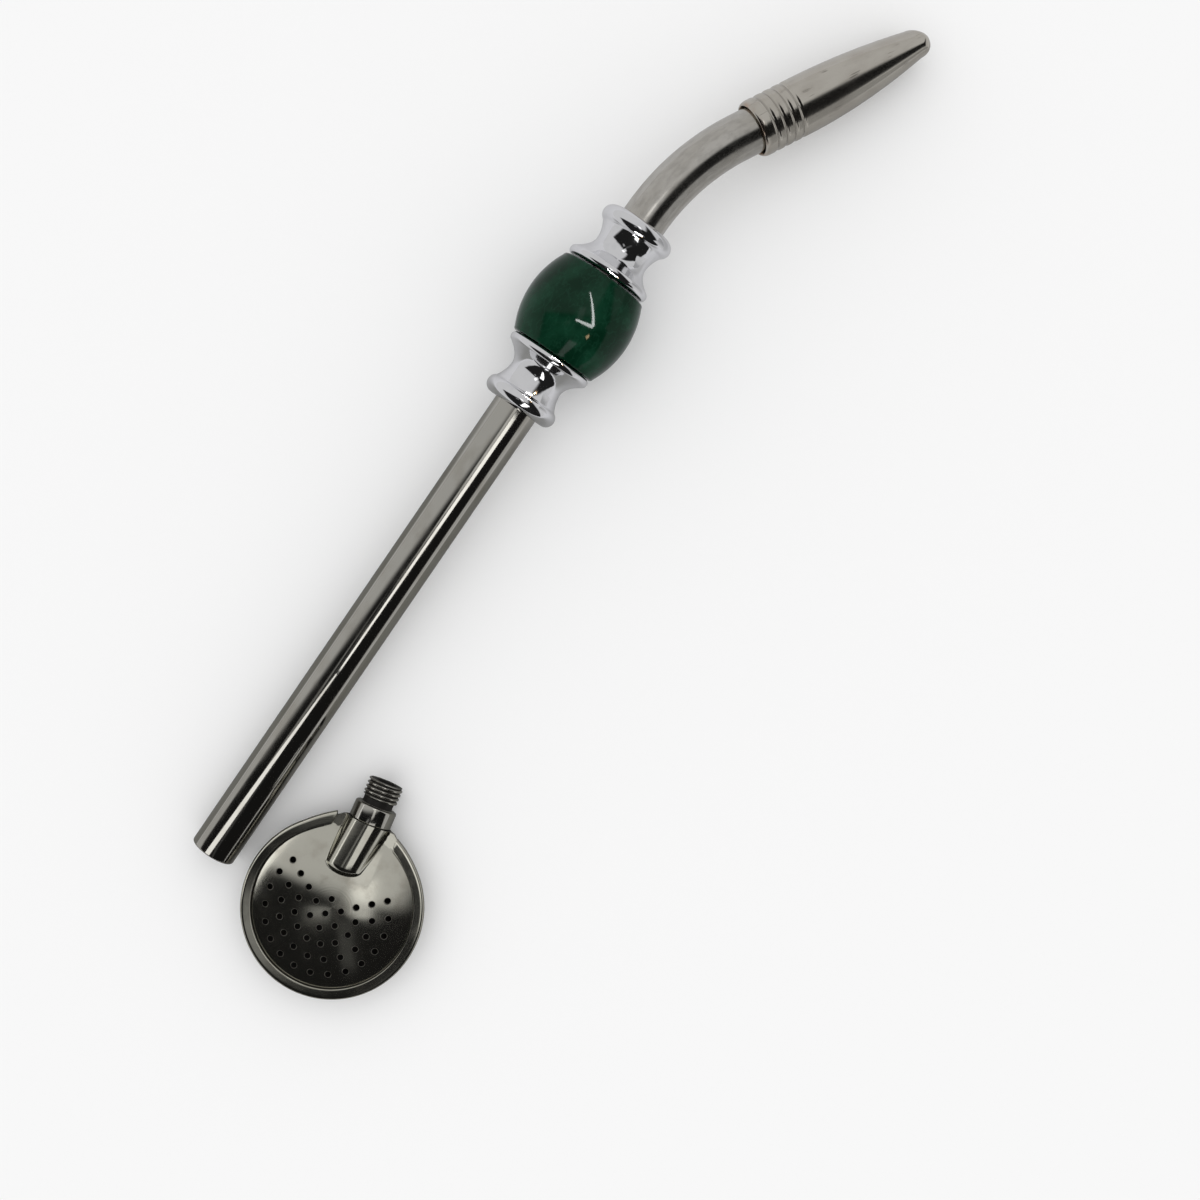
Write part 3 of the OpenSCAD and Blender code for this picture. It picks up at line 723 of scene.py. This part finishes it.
# Sheet over a plan: triangles between the boundary and the hole rings, with an outer and an inner face
def sheetMesh(boundary, holes, holeR, sides, side):
    turns = ringTurns(sides)
    plan, edges = [], []
    for loop in [boundary] + [planRing(x, y, holeR, turns) for x, y in holes]:
        first = len(plan)
        plan += loop
        edges += [(first + i, first + (i + 1) % len(loop)) for i in range(len(loop))]
    extra = planRing(0, 0, grid["middle"][0], [grid["middle"][1]])
    for r in np.arange(grid["firstRing"], strainer["discR"], grid["ring"]):
        count = int(fullTurn * r / grid["ring"])
        extra += planRing(0, 0, r, fullTurn * (np.arange(count) + grid["ringShift"]) / count)
    for x, y in holes:
        extra += planRing(x, y, holeR + grid["holeRing"], turns + grid["holeShift"])
    rowTurns = np.radians(np.linspace(-grid["rowTurn"], grid["rowTurn"], grid["rowPoints"]))
    for x in np.arange(grid["neckFrom"], strainer["neckOut"] - grid["neckEdge"], grid["neck"]):
        extra += [(x, y) for y in np.arange(-grid["neckHalf"], grid["neckHalf"], grid["neck"])]
        if x > grid["rowFrom"]:
            middle, radius = neckMiddle(x, side), neckRadius(x)
            extra += [(x + grid["rowShift"], middle + radius * math.sin(a)) for a in rowTurns]
    extra = np.array(extra)
    plan += extra[holeGap(extra, holes) > holeR + grid["holeClear"]].tolist()
    meshed = delaunay_2d_cdt([Vector(p) for p in plan], edges, [], 1, 1e-5, True)
    points = np.array([tuple(p) for p in meshed[0]])
    faces = np.array(meshed[2])
    faces = faces[holeGap(points[faces].mean(1), holes) > holeR * grid["holeKeep"]]
    used = np.unique(faces)
    lookup = np.full(len(points), -1)
    lookup[used] = np.arange(len(used))
    points, faces = points[used], lookup[faces]
    # Edges with one triangle are the rims; those on a hole ring wait for a lip
    pairs = np.concatenate([faces[:, [0, 1]], faces[:, [1, 2]], faces[:, [2, 0]]])
    keys, counts = np.unique(np.sort(pairs, 1), axis=0, return_counts=True)
    single = {tuple(k) for k in keys[counts == 1]}
    onHole = holeGap(points, holes) < holeR + grid["holeTouch"]
    rim = [(a, b) for a, b in pairs.tolist()
           if tuple(sorted((a, b))) in single and not (onHole[a] and onHole[b])]
    x, y = points[:, 0], points[:, 1]
    top = np.stack([x, y, side * shellHeight(x, y, 0, side)], 1)
    under = np.stack([x, y, side * shellHeight(x, y, strainer["sheet"], side)], 1)
    count = len(points)
    outer = faces if side > 0 else faces[:, ::-1]
    inner = (faces[:, ::-1] if side > 0 else faces) + count
    walls = [(a, a + count, b + count, b) if side > 0 else (b, b + count, a + count, a) for a, b in rim]
    return np.concatenate([top, under]), outer.tolist() + inner.tolist() + walls, len(outer)


# Finished shell: its outer skin is shaded by the form's own slopes, and its inside gets painted shade
def finishShell(name, node, points, faces, skinCount, side, shadeShares, material):
    mesh = plainMesh(name, points, faces, np.concatenate([points[list(face), :2] for face in faces]))
    normals = np.zeros((len(mesh.loops), 3))
    skin = np.array([v for face in faces[:skinCount] for v in face])
    normals[:len(skin)] = shellNormals(points[skin, 0], points[skin, 1], side)
    paintHollowShade(mesh, shadeShares)
    finishPiece(name, mesh, layStrainer, "strainer", node, material, normals=normals)


# Front shell: dome, half neck, slits beside the neck and the hole pattern
front = dict(holeR=0.525, lipR=0.63, lipSides=24, lipSteps=9, pitch=2.68, rings=4, innerHoles=6, ringStep=3,
             free=56, shift=(-1.0, 0.5), slitLength=(4.7, 5.6), slitWidth=(1.35, 1.6), slitSteps=(24, 60),
             flangeGap=0.02, joinTurn=0.004, weld=0.004)
holes = [front["shift"]]
for ring in range(1, front["rings"] + 1):
    count = front["innerHoles"] if ring == 1 else front["innerHoles"] + 1 + front["ringStep"] * (ring - 1)
    for i in range(count):
        turn = 360 * i / count if ring == 1 else front["free"] + (360 - 2 * front["free"]) * i / (count - 1)
        holes += planRing(*front["shift"], ring * front["pitch"], [math.radians(turn)])


# Edge of one slit, from the neck's mouth to the slit's end and back out to the flange
def slitEdge(side):
    length, width = front["slitLength"][side > 0], front["slitWidth"][side > 0]
    inSteps, outSteps = front["slitSteps"]
    neckLine = np.linspace(strainer["neckOut"], strainer["neckOut"] - length, inSteps)
    inner = [(x, neckFoot(x, side)) for x in neckLine]
    start, end = np.array(inner[-1]), np.array((strainer["neckOut"], side * (strainer["neckR"] + width)))
    outer = [tuple(start + (end - start) * u) for u in np.linspace(0, 1, outSteps)[1:]]
    return inner + [p for p in outer if math.hypot(*p) < strainer["flangeR"] - front["flangeGap"]]


leftSlit, rightSlit = slitEdge(1), slitEdge(-1)
start = math.atan2(leftSlit[-1][1], leftSlit[-1][0]) + front["joinTurn"]
end = math.atan2(rightSlit[-1][1], rightSlit[-1][0]) + fullTurn - front["joinTurn"]
boundary = leftSlit + discArc(strainer["flangeR"], start, end, grid["discSteps"]) + rightSlit[::-1]
foot = neckFoot(strainer["neckOut"], 1)
mouthTurns = np.radians(np.linspace(-90, 90, grid["neckSteps"]))
boundary += [(strainer["neckOut"], foot * math.sin(a)) for a in mouthTurns[1:-1]]
points, faces, skinCount = sheetMesh(boundary, holes, front["lipR"], front["lipSides"], 1)

# Lips grown on the hole centres, then welded to the two faces
seeds = bpy.data.meshes.new("holeCentres")
seeds.from_pydata([(x, y, 0.0) for x, y in holes], [], [])
lips = grownMesh(seeds, lipTree(frontSteel, front["lipSteps"], front["lipSides"]),
                 {"Hole Radius": front["holeR"], "Lip Radius": front["lipR"],
                  "Dome Radius": capRadius(strainer["frontHeight"]), "Dome Height": strainer["frontHeight"],
                  "Sheet": strainer["sheet"]})
finder = KDTree(len(points))
for i, p in enumerate(points):
    finder.insert(p, i)
finder.balance()
lipPoints, index = [], []
for vertex in lips.vertices:
    i, gap = finder.find(vertex.co)[1:]
    if gap < front["weld"]:
        index.append(i)
    else:
        index.append(len(points) + len(lipPoints))
        lipPoints.append(tuple(vertex.co))
points = np.concatenate([points, np.array(lipPoints)])
lipFaces = [[index[v] for v in polygon.vertices] for polygon in lips.polygons]

# Lips face their hole's middle and upwards
corners = points[lipFaces[0]]
facing = np.cross(corners[1] - corners[0], corners[2] - corners[1])
nearest = min(holes, key=lambda h: math.hypot(h[0] - corners[0][0], h[1] - corners[0][1]))
inward = np.array([nearest[0] - corners[:, 0].mean(), nearest[1] - corners[:, 1].mean(), 0.0])
if facing @ inward + facing[2] < 0:
    lipFaces = [face[::-1] for face in lipFaces]
# Painted shade grows with depth under the outer skin: darkest on the inner face and inside the hole lips
depth = shellHeight(points[:, 0], points[:, 1], 0, 1) - points[:, 2]
finishShell("strainerFront", "strainer_front", points, faces + lipFaces, skinCount, 1,
            depth / strainer["sheet"], frontSteel)

# Back shell: the same dish without holes, and the rolled rim that holds the front shell's edge
back = dict(rimFrom=math.radians(20.6), lap=0.3, joinTurn=0.02, cornerSteps=12, rimSteps=260, rimGirth=6.0,
            flare=(0.85, 0.35), flareRun=math.radians(22), flareCurve=1.5, lipFollow=0.55, endWidth=0.6,
            endRun=0.07, slope=0.04, skin=0.02, edgeTurn=80, lipRound=0.1, lipDrop=0.22, frontGap=0.03)
rimStart, rimEnd = back["rimFrom"], fullTurn - back["rimFrom"]
cornerX = math.sqrt(strainer["discR"] ** 2 - strainer["neckR"] ** 2)
cornerTurn = math.atan2(strainer["neckR"], cornerX)
boundary = discArc(strainer["hemR"] + back["lap"], rimStart + back["joinTurn"], rimEnd - back["joinTurn"],
                   grid["discSteps"])
boundary += discArc(strainer["discR"], -rimStart - back["joinTurn"], -cornerTurn, back["cornerSteps"])
boundary += [(strainer["neckOut"], strainer["neckR"] * math.sin(a)) for a in mouthTurns]
boundary += discArc(strainer["discR"], cornerTurn, rimStart + back["joinTurn"], back["cornerSteps"])
backPoints, backFaces, skinCount = sheetMesh(boundary, [], 0, 0, -1)


# Section of the rolled rim, from under the flange round the edge to the lip, and its hidden inside, which
# gets painted shade
def rimSection(out, lip):
    half, top, curl = strainer["sheet"], 2 * strainer["sheet"], back["lipRound"]
    low, edge = top - back["slope"], out - half
    shown = [(strainer["hemR"], -half - back["skin"]), (edge, -half - back["skin"])]
    shown += outlineArc(edge, 0, half, -back["edgeTurn"], 0, 5)
    shown += outlineArc(edge, low - half, half, 0, back["edgeTurn"], 8)
    shown += [(edge + (lip + curl - edge) * u, low + back["slope"] * u) for u in np.linspace(0.1, 0.95, 7)]
    shown += [(lip + curl - curl * math.sin(a), top - curl + curl * math.cos(a))
              for a in np.radians(np.linspace(15, 90, 5))]
    hidden = [(lip, top - back["lipDrop"]), (lip, half + back["frontGap"]), (edge, half + back["frontGap"]),
              (edge, -back["skin"]), (strainer["hemR"], -back["skin"])]
    return shown + hidden, [0.0] * len(shown) + [1.0] * len(hidden)


rings, rimShadeShares = [], []
for turn in np.linspace(rimStart, rimEnd, back["rimSteps"]):
    close = min(turn - rimStart, rimEnd - turn)
    bent = back["flare"][int(turn > math.pi)] * max(0.0, 1 - close / back["flareRun"]) ** back["flareCurve"]
    taper = max(0.0, 1 - close / back["endRun"]) ** 2
    out = strainer["discR"] + bent
    lip = strainer["hemR"] + back["lipFollow"] * bent
    lip += taper * (out - back["endWidth"] - lip)
    section, sectionShadeShares = rimSection(out, lip)
    rings.append(np.array([(r * math.cos(turn), r * math.sin(turn), z) for r, z in section]))
    rimShadeShares += sectionShadeShares
rimMesh = loftMesh("rolledRim", rings, back["rimGirth"], capped=True)
rimPoints = np.array([tuple(v.co) for v in rimMesh.vertices])
rimFaces = [[v + len(backPoints) for v in polygon.vertices] for polygon in rimMesh.polygons]
# Painted shade on the back shell's inner face and on the rim's hidden inside
depth = shellHeight(backPoints[:, 0], backPoints[:, 1], 0, -1) + backPoints[:, 2]
finishShell("strainerBack", "strainer_back", np.concatenate([backPoints, rimPoints]), backFaces + rimFaces,
            skinCount, -1, np.concatenate([depth / strainer["sheet"], rimShadeShares]), rimSteel)

# Nipple: tail between the shells, collar, relief neck and the thread
nipple = dict(boreR=1.8, tailR=3.33, tailStart=11.45, collarR=3.75, collarStart=15.95, collarEnd=19.05,
              collarRound=0.3, reliefR=2.7, threadStart=20.45, threadEnd=23.45, threadR=3.125, pitch=0.75,
              depth=0.35, threadRows=84, edge=0.15, endEdge=0.2, runIn=0.2, boreShare=2, sides=96)
curve = nipple["collarRound"]
roundAt = nipple["collarR"] - curve
crests = np.linspace(nipple["threadStart"], nipple["threadEnd"] - nipple["edge"], nipple["threadRows"])
outline = [(nipple["tailStart"], nipple["boreR"]), (nipple["tailStart"], nipple["tailR"]),
           (nipple["collarStart"], nipple["tailR"])]
outline += outlineArc(nipple["collarStart"] + curve, roundAt, curve, 180, 90, 6)
outline += outlineArc(nipple["collarEnd"] - curve, roundAt, curve, 90, 0, 6)
outline += [(nipple["collarEnd"], nipple["reliefR"] + nipple["edge"]),
            (nipple["collarEnd"] + nipple["edge"], nipple["reliefR"]),
            (nipple["threadStart"] - nipple["runIn"], nipple["reliefR"])]
outline += [(x, nipple["threadR"]) for x in crests]
outline += [(nipple["threadEnd"], nipple["threadR"] - nipple["endEdge"]),
            (nipple["threadEnd"], nipple["boreR"] + nipple["edge"]),
            (nipple["threadEnd"] - nipple["edge"], nipple["boreR"])]
nippleRings = turnedRings(outline, nipple["sides"], -math.pi / 2)
nippleMesh = loftMesh("strainerNipple", nippleRings, fullTurn * nipple["threadR"])
nippleMesh = grownMesh(nippleMesh, threads, {"Radius": nipple["threadR"], "Pitch": nipple["pitch"],
                                             "Depth": -nipple["depth"],
                                             "Start": nipple["threadStart"] - nipple["runIn"],
                                             "End": nipple["threadEnd"]})
# Painted shade in the thread roots, on the relief neck and in the bore
cut = [max(nipple["threadR"] - math.hypot(v.co.y, v.co.z), 0) / nipple["depth"] for v in nippleMesh.vertices]
paintHollowShade(nippleMesh, [share if v.co.x > nipple["collarEnd"] or share > nipple["boreShare"] else 0.0
                   for share, v in zip(cut, nippleMesh.vertices)])
finishPiece("strainerNipple", nippleMesh, layStrainer, "strainer", "strainer_nipple",
            tubeSteel)

# Joining sleeve stays as built and only gets its steel
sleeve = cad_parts["joining_sleeve"]
sleeve.data.materials.clear()
sleeve.data.materials.append(sleeveSteel())
print("straw: strainer pieces made")


# One flat sheet of the stage, from its four corners in metres
def stageSheet(name, corners, material, mirrored=False):
    mesh = bpy.data.meshes.new(name)
    mesh.from_pydata(corners, [], [(0, 1, 2, 3)])
    mesh.materials.append(material)
    sheet = bpy.data.objects.new(name, mesh)
    if mirrored:    # seen only in reflections
        sheet.visible_camera = sheet.visible_diffuse = False
        sheet.visible_shadow = sheet.visible_transmission = False
    scene.collection.objects.link(sheet)


# Table: pale, and greyer in the metal's reflections, most of all under the tube and the mouthpiece
table = dict(half=3.0, pale=(0.94, 0.94, 0.94, 1), mirrored=(0.62, 0.62, 0.63, 1), dark=(0.26, 0.26, 0.25, 1),
             tubePatch=(0.02, -0.01, 0.09, 0.12), mouthPatch=(0.160, -0.038, 0.045, 0.030), mouthShare=0.5,
             patchEdge=(0.4, 1.0), rough=0.9)
tableZ = stem["tableZ"] * mm
tablePaint, pen = startMaterial("paleTable")
glossy = pen.add("ShaderNodeLightPath", {}, {}, 3)
tableX, tableY = framePlace(pen).parts()[:2]


# Round patch of the table about a place, with soft edges
def tablePatch(x, y, halfX, halfY):
    along, across = (tableX - x) / halfX, (tableY - y) / halfY
    return 1 - (along * along + across * across).step(*table["patchEdge"])


darker = tablePatch(*table["tubePatch"]) + tablePatch(*table["mouthPatch"]) * table["mouthShare"]
shade = glossy.tint(table["pale"], darker.tint(table["mirrored"], table["dark"]))
endMaterial(pen, {"Base Color": shade, "Roughness": table["rough"], "Specular IOR Level": 0.0})
reach = table["half"]
stageSheet("paleTable", [(-reach, -reach, tableZ), (reach, -reach, tableZ), (reach, reach, tableZ),
                         (-reach, reach, tableZ)], tablePaint)

# Camera straight above, as in the photograph
view = dict(height=0.3, focal=51.18, sensor=36.0, nadir=(0.07409, -0.03044), angle=34.688)
camera = bpy.data.cameras.new("photoCamera")
camera.lens, camera.sensor_width = view["focal"], view["sensor"]
cameraObject = bpy.data.objects.new("photoCamera", camera)
cameraObject.location = (*view["nadir"], tableZ + view["height"])
cameraObject.rotation_euler = (0, 0, math.radians(view["angle"] - 90))
scene.collection.objects.link(cameraObject)
scene.camera = cameraObject

# Room: even soft light on everything, and a dim room with a window, pale low walls and strips in reflections
# A place in it is a slope away from straight up; a strip has its ends, half width and strength
room = dict(right=(0.569, -0.822), up=(0.822, 0.569), dim=0.012, bright=0.56, lowest=0.02,
            lowWalls=(1.5, 2.1), lowWallsBack=0.6, windowLean=0.3, windowEdge=(-0.1, 0.04),
            windowEnd=(-0.6, -0.35), stripCore=0.6, stripEnd=0.02,
            strips=(((-0.12, -0.21), (0.16, -0.06), 0.12, 0.7),
                    ((-0.33, 0.17), (-0.22, 0.02), 0.07, 0.25),
                    ((-0.20, -0.12), (-0.62, -0.42), 0.08, 0.05)))
world = bpy.data.worlds.new("softRoom")
world.use_nodes = True
world.node_tree.nodes.clear()
world.cycles.sampling_method = "NONE"    # reflections and soft light see different rooms
scene.world = world
pen = Wire(world.node_tree)
dx, dy, dz = pen.add("ShaderNodeTexCoord", {}, {}, 0).parts()
rise = pen.maths("MAXIMUM", dz, room["lowest"])
gx, gy = dx / rise, dy / rise


# Brightness of a straight light strip between two places of the room
def lightStrip(start, end, half):
    run = np.array(end) - np.array(start)
    length = float(np.hypot(*run))
    ux, uy = (run / length).tolist()
    soft = room["stripEnd"]
    along = (gx - start[0]) * ux + (gy - start[1]) * uy
    across = pen.maths("ABSOLUTE", (gx - start[0]) * uy - (gy - start[1]) * ux)
    ends = along.step(-soft, soft) * (1 - along.step(length - soft, length + soft))
    return (1 - across.step(half * room["stripCore"], half)) * ends


aside = pen.maths("ABSOLUTE", gx * room["right"][0] + gy * room["right"][1])
behind = pen.maths("MAXIMUM", 0 - gx * room["up"][0] - gy * room["up"][1], 0.0)
lowWalls = (aside - behind * room["lowWallsBack"]).step(*room["lowWalls"])
window = (gx + gy * room["windowLean"]).step(*room["windowEdge"]) * gy.step(*room["windowEnd"])
mirrored = room["dim"] + (1 - (1 - window) * (1 - lowWalls)) * room["bright"]
for start, end, half, strength in room["strips"]:
    mirrored = mirrored + lightStrip(start, end, half) * strength
glossy = pen.add("ShaderNodeLightPath", {}, {}, 3)
backdrop = pen.add("ShaderNodeBackground", {}, {"Color": glossy * mirrored + (1 - glossy), "Strength": 1.0})
pen.add("ShaderNodeOutputWorld", {}, {"Surface": backdrop})

# Lamps close above the bead, the lower tube and the strainer's neck, seen only in reflections
# Each has its tone, strength, height, two ends and the half width at each end
white, warm = (1, 1, 1, 1), (1, 0.7, 0.4, 1)
lamps = ((white, 34.0, 18.5, (110.3, -7.3), (116.6, -0.1), 0.48, 0.13),
         (white, 30.0, 18.5, (110.3, -7.3), (109.35, -1.2), 0.48, 0.23),
         (warm, 20.0, 18.5, (106.7, -8.9), (107.6, -7.7), 0.45, 0.65),
         (white, 1.5, 12.0, (-12.2, 2.55), (36.8, -2.55), 2.6, 0.5),
         (white, 1.8, 40.0, (31.0, -13.0), (90.0, -17.0), 3.0, 6.5),
         (white, 0.8, 9.2, (14.6, -21.3), (15.5, -25.9), 4.5, 4.5))
for i, (tone, strength, height, start, end, halfStart, halfEnd) in enumerate(lamps):
    lampGlow, pen = startMaterial("lampGlow%d" % i)
    endGlow(pen, tone, strength)
    start, end = np.array(start), np.array(end)
    across = np.array([start[1] - end[1], end[0] - start[0]]) / np.linalg.norm(end - start)
    corners = (start - across * halfStart, end - across * halfEnd,
               end + across * halfEnd, start + across * halfStart)
    stageSheet("lampStrip%d" % i, [(x * mm, y * mm, height * mm) for x, y in corners], lampGlow, True)

# Grey card beside the mouthpiece, seen only in reflections and paler at its near end
card = dict(start=(116.0, -46.0, 34.0), end=(205.0, -78.0, 13.0), fade=(0.118, 0.150), pale=0.55, grey=0.33)
cardGrey, pen = startMaterial("cardGrey")
cardX = framePlace(pen).parts()[0]
endGlow(pen, card["pale"] + cardX.step(*card["fade"]) * (card["grey"] - card["pale"]), 1.0)
footStart, footEnd = (*card["start"][:2], stem["tableZ"]), (*card["end"][:2], stem["tableZ"])
corners = (footStart, footEnd, card["end"], card["start"])
stageSheet("greyCard", [(x * mm, y * mm, z * mm) for x, y, z in corners], cardGrey, True)
print("straw: stage set")
